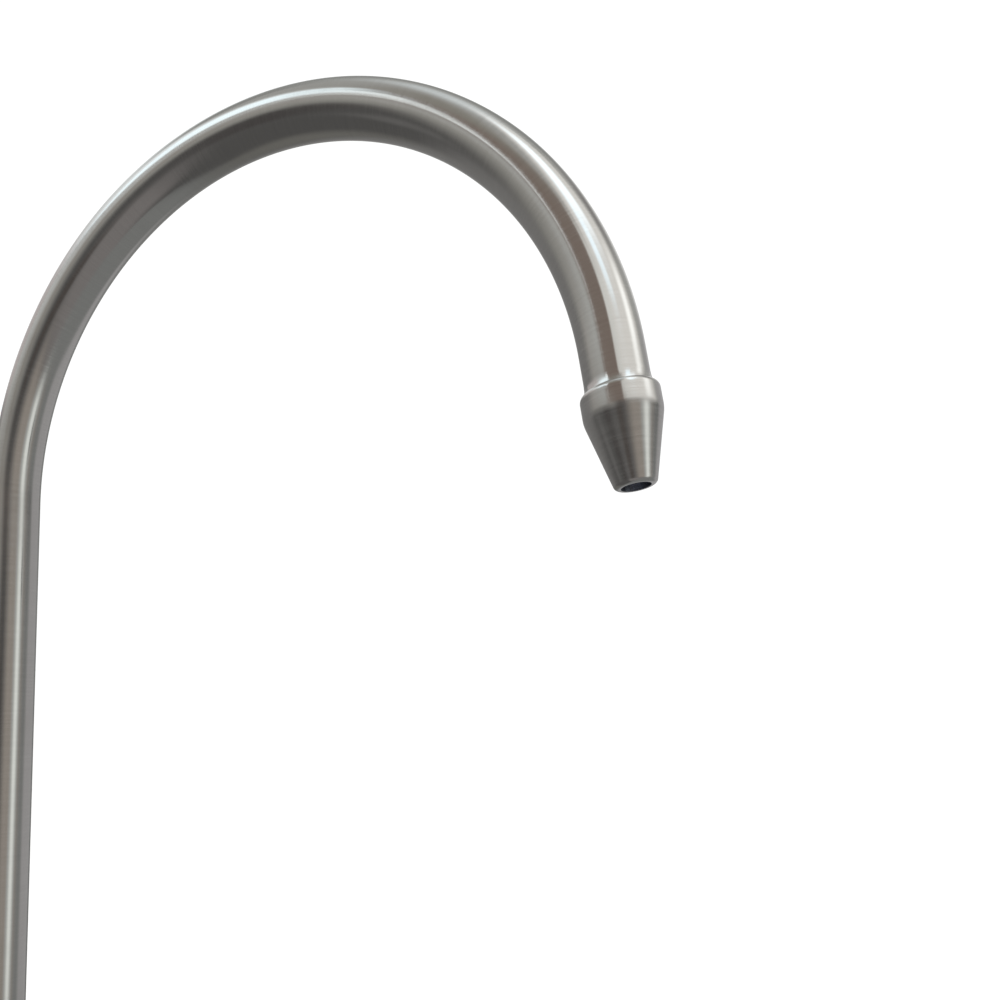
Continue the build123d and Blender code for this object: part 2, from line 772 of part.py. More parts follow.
# Handle hub: recess over the clip, splined bore, web for the screw, pocket for the cap
with BuildPart() as handle_hub:
    with BuildSketch(cartridge_section):
        Polygon(
            (hub_start, hub_recess_radius),
            (hub_start, hub_radius),
            (hub_end, hub_radius),
            (hub_end, cap_radius + cap_gap),
            (cap_seat, cap_radius + cap_gap),
            (cap_seat, screw_pocket_radius),
            (web_end, screw_pocket_radius),
            (web_end, screw_radius + part_gap),
            (web_start, screw_radius + part_gap),
            (web_start, spindle_bore),
            (spline_start, spindle_bore),
            (spline_start, hub_recess_radius),
            align=None,
        )
        fillet(vertices().sort_by_distance((hub_end, hub_radius))[0], hub_round)
        fillet(vertices().sort_by_distance((hub_start, hub_radius))[0], hub_inner_round)
    revolve(axis=cartridge_axis)
    with BuildSketch(cartridge_cross.offset(spline_start)):
        with PolarLocations(spindle_bore, spline_teeth):
            Rectangle(2 * (spline_depth - running_gap), spline_slot - 2 * running_gap)
        Circle(spindle_bore + spline_depth, mode=Mode.INTERSECT)
    extrude(amount=spline_length)
    with BuildSketch(Plane.XY.offset(lever_seat)):
        with Locations((lever_station, 0)):
            Circle(lever_radius + cap_gap)
    extrude(amount=hub_radius, mode=Mode.SUBTRACT)
    with BuildSketch(Plane.XY.offset(lever_seat)):
        with Locations((lever_station, 0)):
            Circle(lever_plug_radius + thread_gap)
    extrude(amount=-lever_plug_length - part_gap, mode=Mode.SUBTRACT)

# Lever: slim rod that swells to a rounded tip, screwed in the hub
with BuildPart() as lever_rod:
    with BuildSketch(Plane.XZ):
        Polygon(
            (lever_station, lever_seat - lever_plug_length),
            (lever_station + lever_plug_radius, lever_seat - lever_plug_length),
            (lever_station + lever_plug_radius, lever_seat),
            (lever_station + lever_radius, lever_seat),
            (lever_station + lever_tip_radius, lever_end),
            (lever_station, lever_end),
            align=None,
        )
        fillet(vertices().sort_by_distance((lever_station + lever_tip_radius, lever_end))[0], lever_round)
    revolve(axis=Axis((lever_station, 0, 0), (0, 0, 1)))

# Screw through the hub's web into the spindle's end
with BuildPart() as handle_screw:
    with BuildSketch(cartridge_cross.offset(web_end)):
        Circle(screw_head_radius)
    extrude(amount=screw_head_height)
    fillet(edges().group_by(Axis.X)[-1], screw_head_round)
    with BuildSketch(cartridge_cross.offset(web_end)):
        Circle(screw_radius)
    extrude(amount=-hub_web - screw_grip)
    with BuildSketch(cartridge_cross.offset(web_end + screw_head_height)):
        RegularPolygon(screw_recess_flats / 2, hex_sides, major_radius=False)
    extrude(amount=-screw_recess_depth, mode=Mode.SUBTRACT)

# Cap: crowned button with a plug that snaps in the hub
with BuildPart() as hub_cap:
    with BuildSketch(cartridge_section):
        with BuildLine():
            Line((cap_seat - cap_plug_height, 0), (cap_seat - cap_plug_height, cap_plug_radius))
            Line((cap_seat - cap_plug_height, cap_plug_radius), (cap_seat, cap_plug_radius))
            Line((cap_seat, cap_plug_radius), (cap_seat, cap_radius))
            Line((cap_seat, cap_radius), (hub_end, cap_radius))
            TangentArc((hub_end + cap_crown, 0), (hub_end, cap_radius), tangent=(0, 1))
            Line((hub_end + cap_crown, 0), (cap_seat - cap_plug_height, 0))
        make_face()
    revolve(axis=cartridge_axis)

pieces = {
    "spout_tube": spout_tube,
    "nozzle": nozzle,
    "spout_stem": spout_stem,
    "swivel_rings": swivel_rings,
    "lower_slide_ring": lower_slide_ring,
    "upper_slide_ring": upper_slide_ring,
    "collar_nut": collar_nut,
    "valve_body": valve_body,
    "base_flange": base_flange,
    "base_gasket": base_gasket,
    "threaded_shank": threaded_shank,
    "rubber_washer": rubber_washer,
    "steel_washer": steel_washer,
    "lock_washer": lock_washer,
    "lock_nut": lock_nut,
    "adapter_body": adapter_body,
    "adapter_seal": adapter_seal,
    "tube_ring": tube_ring,
    "collet_guide": collet_guide,
    "collet": collet,
    "cartridge_housing": cartridge_housing,
    "cartridge_ring": cartridge_ring,
    "seat_seal": seat_seal,
    "fixed_disc": fixed_disc,
    "moving_disc": moving_disc,
    "spindle": spindle,
    "spindle_rings": spindle_rings,
    "thrust_washer": thrust_washer,
    "spindle_clip": spindle_clip,
    "bonnet": bonnet,
    "handle_hub": handle_hub,
    "lever_rod": lever_rod,
    "handle_screw": handle_screw,
    "hub_cap": hub_cap,
}
os.makedirs("parts", exist_ok=True)
for name, piece in pieces.items():
    piece.part.label = name
    export_step(piece.part, f"parts/{name}.step")
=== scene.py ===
import bmesh
import bpy
import json
from collections import namedtuple
from math import atan2, cos, pi, radians, sin, tau
from mathutils import Matrix, Vector


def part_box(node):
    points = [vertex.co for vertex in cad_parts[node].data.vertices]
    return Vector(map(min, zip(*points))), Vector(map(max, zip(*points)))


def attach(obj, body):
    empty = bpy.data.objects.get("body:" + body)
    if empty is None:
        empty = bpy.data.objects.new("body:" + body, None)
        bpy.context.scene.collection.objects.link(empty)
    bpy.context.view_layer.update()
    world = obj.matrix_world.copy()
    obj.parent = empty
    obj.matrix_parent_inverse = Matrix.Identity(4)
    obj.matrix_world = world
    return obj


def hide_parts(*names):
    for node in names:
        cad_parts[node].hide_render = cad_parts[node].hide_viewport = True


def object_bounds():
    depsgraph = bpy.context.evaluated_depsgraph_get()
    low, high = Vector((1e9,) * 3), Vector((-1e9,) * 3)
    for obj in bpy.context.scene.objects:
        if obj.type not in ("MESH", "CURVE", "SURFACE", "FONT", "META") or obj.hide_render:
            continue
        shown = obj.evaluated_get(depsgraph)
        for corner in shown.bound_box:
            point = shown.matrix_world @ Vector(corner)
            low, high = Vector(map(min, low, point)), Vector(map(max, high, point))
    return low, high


# High-loop faucet: the looks of its bent, turned and brushed stainless pieces. Metres, +Z up.
MM = 0.001
MICRON = 0.001 * MM

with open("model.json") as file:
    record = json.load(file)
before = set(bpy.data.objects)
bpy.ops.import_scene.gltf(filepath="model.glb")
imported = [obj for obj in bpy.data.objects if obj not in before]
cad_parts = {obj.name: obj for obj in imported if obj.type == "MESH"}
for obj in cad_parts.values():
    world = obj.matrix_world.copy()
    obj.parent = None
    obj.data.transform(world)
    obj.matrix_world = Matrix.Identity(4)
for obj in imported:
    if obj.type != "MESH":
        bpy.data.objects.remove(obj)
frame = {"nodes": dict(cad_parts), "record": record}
nodes = frame["nodes"]
mounts = {mount["name"]: mount for mount in frame["record"]["mounts"]}
slot_of = {part["node"]: part["material_slot"] for part in frame["record"]["subparts"]}
cad_low, cad_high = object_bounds()

# Sizes of the spout
tube_low, tube_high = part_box("spout_tube")
tube_radius = (tube_high.x - tube_low.x) / 2
tube_wall = 1.2 * MM
bend_radius = 84.0 * MM
bend_angle = radians(171.0)
bend_height = 235.0 * MM
outlet_straight = 8.0 * MM
bend_centre = Vector((0, -bend_radius, bend_height))

# Sizes of the nozzle, counted down the flow from its shoulder
outlet_tip = Vector(mounts["outlet"]["pos_m"])
flow = Vector(mounts["outlet"]["axis"]).normalized()
outlet_radius = mounts["outlet"]["dims"]["r_mm"] * MM
outlet_depth = mounts["outlet"]["dims"]["length_mm"] * MM
nozzle_length = 19.3 * MM
socket_depth = 4.5 * MM
braze_gap = 0.03 * MM
socket_radius = tube_radius + braze_gap
nozzle_step = 1.3 * MM
band_radius = tube_radius + nozzle_step
band_length = 5.3 * MM
band_ease = 0.8 * MM
shoulder_length = 1.4 * MM
tip_radius = 4.0 * MM
tip_round = 0.75 * MM
braze_height = 1.8 * MM
braze_width = 0.32 * MM
crease_depth = 0.1 * MM
shoulder_point = outlet_tip - flow * nozzle_length

# Sizes of the shank and its rolled thread
shank_low, shank_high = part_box("threaded_shank")
shank_radius = (shank_high.x - shank_low.x) / 2
shank_bore = 3.0 * MM
thread_pitch = 1.27 * MM
thread_depth = 0.66 * MM
thread_crest = 0.16 * MM
thread_root = 0.16 * MM
thread_lead = 1.0 * MM
end_chamfer = 0.1 * MM
turns_below = 2  # drawn past the shank's ends and cut off
spare_turns = 3

# How finely the round pieces are divided
around_tube = 128
around_nozzle = 160
around_thread = 48
bend_steps = 260
riser_steps = 90
straight_steps = 8
arc_steps = 10

# Steepest edges that stay smooth, in degrees, and how near two points are one
sharpest = 30.0
sharpest_on_thread = 20.0
same_point = 0.0001 * MM
same_thread_point = 0.001 * MM

# Axes that the turned pieces were turned on
cartridge_height = 30.0 * MM
body_radius = 14.0 * MM
lever_low, lever_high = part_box("lever_rod")
upright = (Vector((0, 0, 0)), (0, 0, 0))
down_the_flow = (shoulder_point, (bend_angle, 0, 0))
out_sideways = (Vector((0, 0, cartridge_height)), (0, pi / 2, 0))
up_the_lever = (Vector(((lever_low.x + lever_high.x) / 2, 0, 0)), (0, 0, 0))


# Mesh helpers
def new_piece(name, shape, body, slot, *replaced):
    """A finished mesh becomes an object on a body, in place of the solids it stands for. The slot is not
    used.
    """
    mesh = bpy.data.meshes.new(name)
    shape.to_mesh(mesh)
    shape.free()
    piece = bpy.data.objects.new(name, mesh)
    bpy.context.scene.collection.objects.link(piece)
    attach(piece, body)
    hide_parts(*replaced)
    return piece


def smooth_between_edges(shape, steepest=sharpest):
    """Smooth shading everywhere but across the sharp edges."""
    for face in shape.faces:
        face.smooth = True
    for edge in shape.edges:
        edge.smooth = edge.calc_face_angle(0.0) < radians(steepest)


def made_vertices(made):
    return [item for item in made if isinstance(item, bmesh.types.BMVert)]


def made_edges(made):
    return [item for item in made if isinstance(item, bmesh.types.BMEdge)]


def line_to(shape, start, x, z):
    """Draws a straight line of a section, in the XZ plane, and returns its end."""
    end = shape.verts.new((x, 0, z))
    shape.edges.new((start, end))
    return end


def arc_to(shape, start, x, z, tangent, arriving=False):
    """Draws an arc of a section that leaves along the tangent, or arrives along it."""
    chord = Vector((x, 0, z)) - start.co
    across = Vector((tangent[1], 0, -tangent[0])).normalized()
    held = Vector((x, 0, z)) if arriving else start.co.copy()
    reach = chord.dot(across) * (-1 if arriving else 1)
    centre = held + across * chord.length_squared / (2 * reach)
    first = start.co - centre
    last = Vector((x, 0, z)) - centre
    made = bmesh.ops.spin(
        shape,
        geom=[start],
        cent=centre,
        axis=(0, 1, 0),
        angle=atan2(first.z * last.x - first.x * last.z, first.z * last.z + first.x * last.x),
        steps=arc_steps,
    )
    return made_vertices(made["geom_last"])[0]


def turn_section(shape, steps):
    """Turns the drawn section once round Z and closes it."""
    bmesh.ops.spin(
        shape,
        geom=list(shape.verts) + list(shape.edges),
        cent=(0, 0, 0),
        axis=(0, 0, 1),
        angle=tau,
        steps=steps,
        use_merge=True,
    )
    bmesh.ops.remove_doubles(shape, verts=shape.verts, dist=same_point)
    bmesh.ops.recalc_face_normals(shape, faces=shape.faces)


def section_lengths(shape):
    """The drawn section's points as radius and height, each with its length along the section."""
    shape.verts.ensure_lookup_table()
    vert = shape.verts[0]
    first = vert
    edge = vert.link_edges[0]
    length = 0.0
    lengths = [(vert.co.x, vert.co.z, length)]
    while edge.other_vert(vert) is not first:
        length += edge.calc_length()
        vert = edge.other_vert(vert)
        edge = next(other for other in vert.link_edges if other is not edge)
        lengths.append((vert.co.x, vert.co.z, length))
    return lengths


def mark_turned_map(shape, lengths):
    """A map with the length along the turned section as U and the way round as V.

    The section is closed, so on its last faces the first point counts as just past the end.
    """
    layer = shape.loops.layers.uv.new("turned_map")
    whole = lengths[-1][2]
    closing_share = 1.01
    places = {}
    for vert in shape.verts:
        radius = Vector((vert.co.x, vert.co.y)).length
        nearest = min(lengths, key=lambda point: abs(point[0] - radius) + abs(point[1] - vert.co.z))
        places[vert] = (nearest[2], atan2(vert.co.y, vert.co.x))
    for face in shape.faces:
        angles = [places[vert][1] for vert in face.verts]
        runs = [places[vert][0] for vert in face.verts]
        crosses_back = max(angles) - min(angles) > pi
        closes = max(runs) - min(runs) > whole / 2
        for loop in face.loops:
            run, angle = places[loop.vert]
            if crosses_back and angle < 0:
                angle += tau
            if closes and run == 0.0:
                run = whole * closing_share
            loop[layer].uv = (run / whole, angle / tau + 0.5)


def draw_out(shape, ring, step, count):
    """Draws a ring of edges out along a straight run and returns its last ring."""
    for _ in range(count):
        made = bmesh.ops.extrude_edge_only(shape, edges=ring)["geom"]
        bmesh.ops.translate(shape, verts=made_vertices(made), vec=step)
        ring = made_edges(made)
    return ring


# Spout tube
def along_and_round_tube(point):
    """How far a point of the tube is from its foot, and its angle round the tube's centreline."""
    back = point.y - bend_centre.y
    up = point.z - bend_centre.z
    bent = min(max(atan2(up, back), 0), bend_angle)
    outward = back * cos(bent) + up * sin(bent)
    onward = up * cos(bent) - back * sin(bent)
    run = bend_height - tube_low.z + bend_radius * bent + onward
    return run, atan2(point.x, outward - bend_radius)


def mark_tube_map(shape, length):
    """A map with the length of the tube as U and the way round it as V."""
    layer = shape.loops.layers.uv.new("tube_map")
    places = {vert: along_and_round_tube(vert.co) for vert in shape.verts}
    for face in shape.faces:
        angles = [places[vert][1] for vert in face.verts]
        crosses_back = max(angles) - min(angles) > pi
        for loop in face.loops:
            run, angle = places[loop.vert]
            if crosses_back and angle < 0:
                angle += tau
            loop[layer].uv = (run / length, angle / tau + 0.5)


def make_spout_tube():
    """Riser, bend and short end, in one drawn tube."""
    shape = bmesh.new()
    foot = bmesh.ops.create_circle(
        shape,
        segments=around_tube,
        radius=tube_radius,
        matrix=Matrix.Translation((0, 0, tube_low.z)),
    )["verts"]
    ring = list({edge for vert in foot for edge in vert.link_edges})
    riser = bend_height - tube_low.z
    ring = draw_out(shape, ring, Vector((0, 0, riser / riser_steps)), riser_steps)
    bend = bmesh.ops.spin(
        shape,
        geom=ring + list({vert for edge in ring for vert in edge.verts}),
        cent=bend_centre,
        axis=(1, 0, 0),
        angle=bend_angle,
        steps=bend_steps,
    )["geom_last"]
    end = outlet_straight + socket_depth
    draw_out(shape, made_edges(bend), flow * end / straight_steps, straight_steps)
    bmesh.ops.recalc_face_normals(shape, faces=shape.faces)
    length = riser + bend_radius * bend_angle + end
    mark_tube_map(shape, length)
    smooth_between_edges(shape)
    tube = new_piece("drawn_spout_tube", shape, "spout", "brushed_stainless", "spout_tube")
    wall = tube.modifiers.new("tube_wall", "SOLIDIFY")
    wall.thickness = tube_wall
    wall.offset = -1
    return tube, length


# Nozzle
def make_nozzle():
    """Turned nozzle on the tube's end: braze fillet, rounded shoulder, band, cone and water hole."""
    shape = bmesh.new()
    crease = tube_radius + braze_width
    start = shape.verts.new((tube_radius - tube_wall, 0, socket_depth))
    at = line_to(shape, start, socket_radius, socket_depth)
    at = line_to(shape, at, socket_radius, -braze_height)
    at = arc_to(shape, at, crease, crease_depth, (0, 1))
    at = arc_to(shape, at, band_radius, shoulder_length, (0, 1), arriving=True)
    band_edge = line_to(shape, at, band_radius, band_length)
    tip_edge = line_to(shape, band_edge, tip_radius, nozzle_length)
    at = line_to(shape, tip_edge, outlet_radius, nozzle_length)
    at = line_to(shape, at, outlet_radius, nozzle_length - outlet_depth)
    shape.edges.new((at, start))
    for corner, ease in ((band_edge, band_ease), (tip_edge, tip_round)):
        bmesh.ops.bevel(
            shape,
            geom=[corner],
            offset=ease,
            offset_type="OFFSET",
            segments=arc_steps,
            profile=0.5,
            affect="VERTICES",
            material=-1,
        )
    lengths = section_lengths(shape)
    turn_section(shape, around_nozzle)
    mark_turned_map(shape, lengths)
    place = Matrix.Translation(shoulder_point) @ Matrix.Rotation(bend_angle, 4, "X")
    bmesh.ops.transform(shape, matrix=place, verts=shape.verts)
    smooth_between_edges(shape)
    return new_piece("turned_nozzle", shape, "spout", "turned_stainless", "nozzle")


# Threaded shank
def make_shank():
    """Hollow shank with a rolled thread, cut square and chamfered at both ends."""
    shape = bmesh.new()
    root = shank_radius - thread_depth
    flank = (thread_pitch - thread_crest - thread_root) / 2
    turns = round((shank_high.z - shank_low.z) / thread_pitch) + spare_turns
    at = shape.verts.new((root, 0, shank_low.z - turns_below * thread_pitch))
    for _ in range(turns):
        foot = at.co.z
        at = line_to(shape, at, root, foot + thread_root)
        at = line_to(shape, at, shank_radius, foot + thread_root + flank)
        at = line_to(shape, at, shank_radius, foot + thread_root + flank + thread_crest)
        at = line_to(shape, at, root, foot + thread_pitch)
    bmesh.ops.spin(
        shape,
        geom=list(shape.verts) + list(shape.edges),
        cent=(0, 0, 0),
        axis=(0, 0, 1),
        dvec=(0, 0, thread_pitch / around_thread),
        angle=tau,
        steps=around_thread,
    )
    bmesh.ops.remove_doubles(shape, verts=shape.verts, dist=same_thread_point)
    for end, outward in ((shank_low.z, -1), (shank_high.z, 1)):
        bmesh.ops.bisect_plane(
            shape,
            geom=list(shape.verts) + list(shape.edges) + list(shape.faces),
            dist=same_point,
            plane_co=(0, 0, end),
            plane_no=(0, 0, outward),
            clear_outer=True,
        )
    for vert in shape.verts:
        to_end = min(vert.co.z - shank_low.z, shank_high.z - vert.co.z)
        widest = root - end_chamfer + to_end * thread_depth / thread_lead
        reach = Vector((vert.co.x, vert.co.y)).length
        if reach > widest:
            vert.co.x *= widest / reach
            vert.co.y *= widest / reach
    for end in (shank_low.z, shank_high.z):
        rim = [
            edge
            for edge in shape.edges
            if edge.is_boundary and all(abs(vert.co.z - end) < same_thread_point for vert in edge.verts)
        ]
        made = bmesh.ops.extrude_edge_only(shape, edges=rim)["geom"]
        for vert in made_vertices(made):
            reach = Vector((vert.co.x, vert.co.y)).length
            vert.co.x *= shank_bore / reach
            vert.co.y *= shank_bore / reach
    bore = [edge for edge in shape.edges if edge.is_boundary]
    bmesh.ops.bridge_loops(shape, edges=bore)
    bmesh.ops.recalc_face_normals(shape, faces=shape.faces)
    smooth_between_edges(shape, sharpest_on_thread)
    return new_piece("threaded_shank_turns", shape, "root", "plated_steel", "threaded_shank")


tube, tube_length = make_spout_tube()
nozzle = make_nozzle()
shank = make_shank()


# Node helpers
def node(tree, kind, **settings):
    made = tree.nodes.new(kind)
    for name, value in settings.items():
        setattr(made, name, value)
    return made


def feed(tree, socket, value):
    """Joins another socket to this one, or sets a plain value on it."""
    if isinstance(value, bpy.types.NodeSocket):
        tree.links.new(value, socket)
    elif value is not None:
        socket.default_value = value


def calc(tree, operation, first, second=None, third=None):
    made = node(tree, "ShaderNodeMath", operation=operation)
    for socket, value in zip(made.inputs, (first, second, third)):
        feed(tree, socket, value)
    return made.outputs[0]


def spread(tree, value, low, high, to_low=0.0, to_high=1.0, eased=False):
    """Maps a value from one range to another and holds it there."""
    made = node(tree, "ShaderNodeMapRange", interpolation_type="SMOOTHSTEP" if eased else "LINEAR")
    for socket, number in zip(made.inputs, (value, low, high, to_low, to_high)):
        feed(tree, socket, number)
    return made.outputs[0]


def mixed(tree, share, first, second):
    """Mixes two colours, on the colour sockets of the Mix node."""
    made = node(tree, "ShaderNodeMix", data_type="RGBA")
    feed(tree, made.inputs[0], share)
    feed(tree, made.inputs[6], first)
    feed(tree, made.inputs[7], second)
    return made.outputs[2]


def parts_of(tree, vector):
    made = node(tree, "ShaderNodeSeparateXYZ")
    feed(tree, made.inputs[0], vector)
    return made.outputs[0], made.outputs[1], made.outputs[2]


def joined(tree, x, y, z):
    made = node(tree, "ShaderNodeCombineXYZ")
    for socket, value in zip(made.inputs, (x, y, z)):
        feed(tree, socket, value)
    return made.outputs[0]


def noise(tree, vector, scale, detail=2.0, roughness=0.5):
    made = node(tree, "ShaderNodeTexNoise")
    feed(tree, made.inputs["Vector"], vector)
    feed(tree, made.inputs["Scale"], scale)
    feed(tree, made.inputs["Detail"], detail)
    feed(tree, made.inputs["Roughness"], roughness)
    return made.outputs["Fac"]


def bumped(tree, height, depth):
    made = node(tree, "ShaderNodeBump")
    feed(tree, made.inputs["Height"], height)
    feed(tree, made.inputs["Distance"], depth)
    return made.outputs[0]


def rgba(red, green, blue):
    return (red, green, blue, 1.0)


def shade(colour, factor):
    return rgba(*(channel * factor for channel in colour))


def new_material(name):
    """A material, its node tree and its shader."""
    material = bpy.data.materials.new(name)
    material.use_nodes = True
    return material, material.node_tree, material.node_tree.nodes["Principled BSDF"]


def set_shader(shader, **numbers):
    for name, number in numbers.items():
        shader.inputs[name.replace("_", " ")].default_value = number


# Where a tool's marks lie on a piece
nearest_to_axis = 0.01 * MM
circles_share = 0.61  # how far the circles on an end face follow its radius
boss_clear_of_body = 0.05 * MM


def round_the_tube(tree):
    """The way round the spout tube as cosine and sine, and the way along it in metres."""
    map_node = node(tree, "ShaderNodeUVMap", uv_map="tube_map")
    run, turn, _ = parts_of(tree, map_node.outputs[0])
    angle = calc(tree, "MULTIPLY", turn, tau)
    along = calc(tree, "MULTIPLY", run, tube_length)
    return calc(tree, "COSINE", angle), calc(tree, "SINE", angle), along


def object_position(tree):
    return node(tree, "ShaderNodeTexCoord").outputs["Object"]


def seen_from_axis(tree, axis):
    """A point's place across and along an axis, and how far it is from it."""
    place, turned_by = axis
    on_axis = node(tree, "ShaderNodeMapping", vector_type="TEXTURE")
    feed(tree, on_axis.inputs["Vector"], object_position(tree))
    feed(tree, on_axis.inputs["Location"], place)
    feed(tree, on_axis.inputs["Rotation"], turned_by)
    x, y, z = parts_of(tree, on_axis.outputs[0])
    squares = calc(tree, "ADD", calc(tree, "MULTIPLY", x, x), calc(tree, "MULTIPLY", y, y))
    return x, y, z, calc(tree, "SQRT", squares)


def from_the_axis(tree, axis):
    return seen_from_axis(tree, axis)[3]


def round_an_axis(tree, axis):
    """The same for a piece turned on an axis. A face square to the axis is marked in circles."""
    x, y, z, radius = seen_from_axis(tree, axis)
    radius = calc(tree, "MAXIMUM", radius, nearest_to_axis)
    along = calc(tree, "MULTIPLY_ADD", radius, circles_share, z)
    return calc(tree, "DIVIDE", x, radius), calc(tree, "DIVIDE", y, radius), along


def turned_on(axis):
    return lambda tree: round_an_axis(tree, axis)


def tool_marks(tree, marks, spacing, stretch, detail=2.0):
    """Noise drawn out round the piece: one cell is `spacing` along it and `stretch` radians round it."""
    cosine, sine, along = marks
    vector = joined(
        tree,
        calc(tree, "DIVIDE", cosine, stretch),
        calc(tree, "DIVIDE", sine, stretch),
        calc(tree, "DIVIDE", along, spacing),
    )
    return noise(tree, vector, 1.0, detail)


def round_body_or_boss(tree):
    """The valve body is turned upright, and its side boss on the cartridge's axis."""
    body_marks = round_an_axis(tree, upright)
    boss_marks = round_an_axis(tree, out_sideways)
    boss_starts = body_radius + boss_clear_of_body
    on_boss = calc(tree, "GREATER_THAN", from_the_axis(tree, upright), boss_starts)
    marks = []
    for body_mark, boss_mark in zip(body_marks, boss_marks):
        step = calc(tree, "SUBTRACT", boss_mark, body_mark)
        marks.append(calc(tree, "MULTIPLY_ADD", step, on_boss, body_mark))
    return marks


# Metals, with how far round a tool's lines and bands run, in radians
line_stretch = 1.4
band_stretch = 2.2
band_spacing = 2.6 * MM
line_roughness = 0.035
grain_shine = 0.85

# Their patterns, in cells to the metre
patches_a_metre = 70.0
smears_a_metre = 24.0
# patches in which the thread's roots are darker
root_patches_a_metre = 900.0

# Their colours
warm_steel = (0.62, 0.60, 0.575)
zinc = (0.66, 0.67, 0.68)
yellow_brass = (0.80, 0.62, 0.32)
bore_shadow = (0.32, 0.34, 0.40)
# colour that the thread's roots are darkened towards
thread_root_tone = (0.16, 0.155, 0.15)


def metal(
    name,
    marks_on,
    colour,
    roughness,
    fine,
    depth,
    contrast=0.06,
    banded=0.015,
    mottled=0.05,
    handled=0.0,
    grain_map=None,
):
    """Machined metal: fine lines from the tool, faint broader bands, dull patches and handled smears.

    The lines are `fine` millimetres apart and `depth` microns deep. A grain map has its U across the
    lines, and the metal's shine is drawn out that way.
    """
    material, tree, shader = new_material(name)
    marks = marks_on(tree)
    lines = tool_marks(tree, marks, fine * MM, line_stretch, detail=3.0)
    bands = tool_marks(tree, marks, band_spacing, band_stretch)
    patches = noise(tree, object_position(tree), patches_a_metre, detail=3.0, roughness=0.55)
    smears = noise(tree, object_position(tree), smears_a_metre, detail=4.0, roughness=0.6)
    grey = spread(tree, lines, 0.28, 0.72)
    tint = mixed(tree, grey, shade(colour, 1.0 - contrast), shade(colour, 1.0 + contrast))
    dull = shade(colour, 1.0 - 0.8 * contrast)
    feed(tree, shader.inputs["Base Color"], mixed(tree, spread(tree, patches, 0.5, 0.72), tint, dull))
    rough = spread(tree, lines, 0.25, 0.75, roughness - line_roughness, roughness + line_roughness)
    rough = calc(tree, "ADD", rough, spread(tree, bands, 0.3, 0.7, -banded, banded))
    rough = calc(tree, "ADD", rough, spread(tree, patches, 0.45, 0.7, 0.0, mottled))
    rough = calc(tree, "ADD", rough, spread(tree, smears, 0.5, 0.66, 0.0, handled))
    feed(tree, shader.inputs["Roughness"], rough)
    feed(tree, shader.inputs["Normal"], bumped(tree, lines, depth * MICRON))
    set_shader(shader, Metallic=1.0)
    if grain_map:
        across = node(tree, "ShaderNodeTangent", direction_type="UV_MAP", uv_map=grain_map)
        feed(tree, shader.inputs["Tangent"], across.outputs[0])
        set_shader(shader, Anisotropic=grain_shine)
    return material


def darken_and_dull(material, darkened, colour, duller):
    """Mixes a darker colour over a metal where the mask is high, and dulls it there: painted shade in
    the nozzle's water hole, and darker thread roots on the shank.
    """
    tree = material.node_tree
    shader = tree.nodes["Principled BSDF"]
    clean = shader.inputs["Base Color"].links[0].from_socket
    feed(tree, shader.inputs["Base Color"], mixed(tree, darkened, clean, rgba(*colour)))
    even = shader.inputs["Roughness"].links[0].from_socket
    feed(tree, shader.inputs["Roughness"], calc(tree, "MULTIPLY_ADD", darkened, duller, even))


def turned_nozzle_steel(name):
    """Deep turning marks on the nozzle, and painted shade in its water hole: the wall is coloured dark
    blue-grey, and it is duller, as a drilled bore is.
    """
    material = metal(
        name,
        turned_on(down_the_flow),
        warm_steel,
        roughness=0.17,
        fine=0.2,
        depth=3.0,
        grain_map="turned_map",
    )
    tree = material.node_tree
    lip = outlet_radius + 0.1 * MM
    wall = outlet_radius + 0.02 * MM
    in_hole = spread(tree, from_the_axis(tree, down_the_flow), lip, wall, eased=True)
    # Painted shade: the water hole's wall is coloured dark blue-grey. Its duller roughness is the
    # drilled bore's own.
    darken_and_dull(material, in_hole, bore_shadow, duller=0.2)
    return material


def plated_thread(name):
    """Plated steel whose thread is darker and duller in its roots."""
    material = metal(
        name,
        turned_on(upright),
        zinc,
        roughness=0.30,
        fine=0.3,
        depth=1.5,
        contrast=0.08,
        mottled=0.12,
    )
    tree = material.node_tree
    root = shank_radius - thread_depth
    crest = shank_radius - 0.15 * MM
    in_root = spread(tree, from_the_axis(tree, upright), root, crest, 1.0, 0.0, eased=True)
    root_patches = noise(tree, object_position(tree), root_patches_a_metre, detail=3.0)
    darkened = calc(tree, "MULTIPLY", in_root, spread(tree, root_patches, 0.3, 0.62, 0.35, 1.0))
    # The thread's roots are coloured darker and made duller, in random patches.
    darken_and_dull(material, darkened, thread_root_tone, duller=0.28)
    return material


def turned_steel(name, marks_on):
    return metal(name, marks_on, warm_steel, roughness=0.19, fine=0.22, depth=1.4, handled=0.04)


def plated_steel(name, marks_on, contrast):
    return metal(
        name, marks_on, zinc, roughness=0.30, fine=0.35, depth=2.0, contrast=contrast, mottled=0.12
    )


def brass(name, marks_on):
    return metal(name, marks_on, yellow_brass, roughness=0.24, fine=0.3, depth=2.0, mottled=0.08)


# Plastics, rubber and ceramic, with patterns in cells to the metre
clouds_a_metre = 130.0
dust_a_metre = 45.0
specks_a_metre = 2400.0


